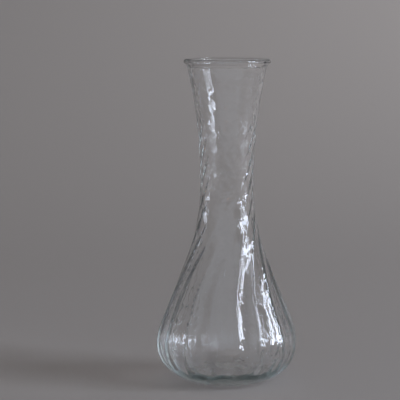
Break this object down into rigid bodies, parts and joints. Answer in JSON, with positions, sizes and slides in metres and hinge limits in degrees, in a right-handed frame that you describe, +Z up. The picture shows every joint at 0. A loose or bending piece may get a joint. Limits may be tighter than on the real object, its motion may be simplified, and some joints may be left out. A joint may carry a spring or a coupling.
{
  "type": "glass bud vase",
  "caption": "Clear glass bud vase for a single stem: rounded fluted base, narrow swirled neck and a plain flared mouth with a rolled rim",
  "frame": {"origin": "centre of the foot, on the plane that the vase stands on", "axes": "+Z up along the vase's axis, from the foot to the mouth; -Y is the front, where one ridge between two flutes faces; +X to the right seen from the front"},
  "size_m": [0.1, 0.1, 0.228],
  "materials": {
    "vase_body": "clear, fire-polished soda-lime glass"
  },
  "bodies": {
    "root": {"vase_body": "vase_body"}
  },
  "joints": []
}
